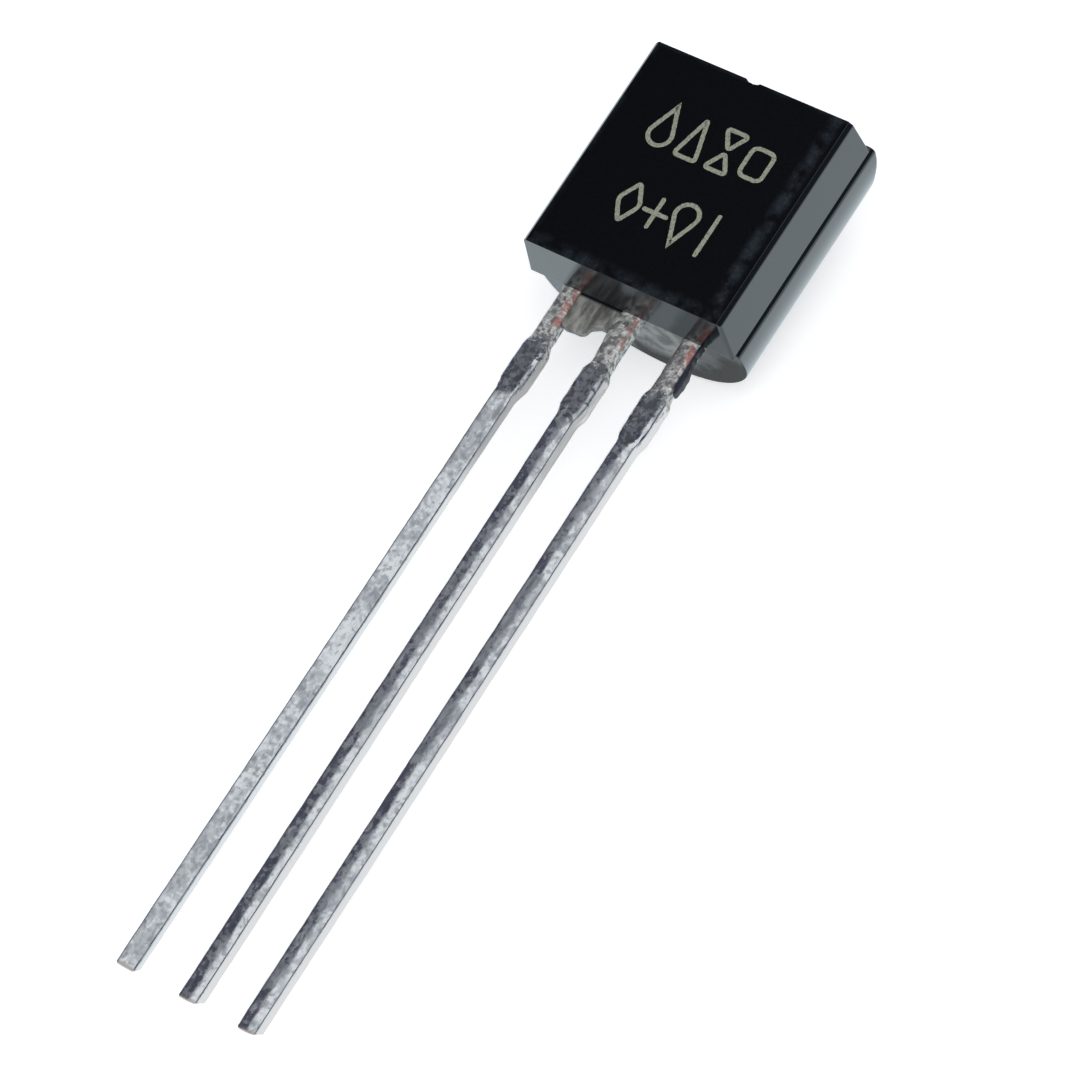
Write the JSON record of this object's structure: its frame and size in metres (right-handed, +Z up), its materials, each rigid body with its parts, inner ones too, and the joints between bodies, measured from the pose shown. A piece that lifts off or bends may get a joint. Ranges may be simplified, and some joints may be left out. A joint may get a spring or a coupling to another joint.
{
  "type": "small-signal transistor",
  "caption": "Small-signal transistor: black half-round moulding with a marked flat, on stamped tinned leads in a row; switches or amplifies a small current",
  "frame": {"origin": "Centre of the footprint on the surface that the transistor lies on, at rest on its rounded back and its lead tips", "axes": "+Z up from that surface, towards the marked flat; +Y along the package from the lead tips to the top of the moulding, so the leads point to -Y and dip about 7.4 degrees; +X across the flat, from the emitter lead to the base lead"},
  "size_m": [0.0044, 0.0192, 0.0038],
  "materials": {
    "moulding": "satin",
    "tinned_lead": "satin",
    "silicon": "polished",
    "die_attach": "matte",
    "gold_wire": "polished"
  },
  "bodies": {
    "root": {"body": "moulding", "emitter_lead": "tinned_lead", "collector_lead": "tinned_lead", "base_lead": "tinned_lead", "chip": "silicon", "die_attach": "die_attach", "emitter_wire": "gold_wire", "base_wire": "gold_wire"}
  },
  "joints": []
}
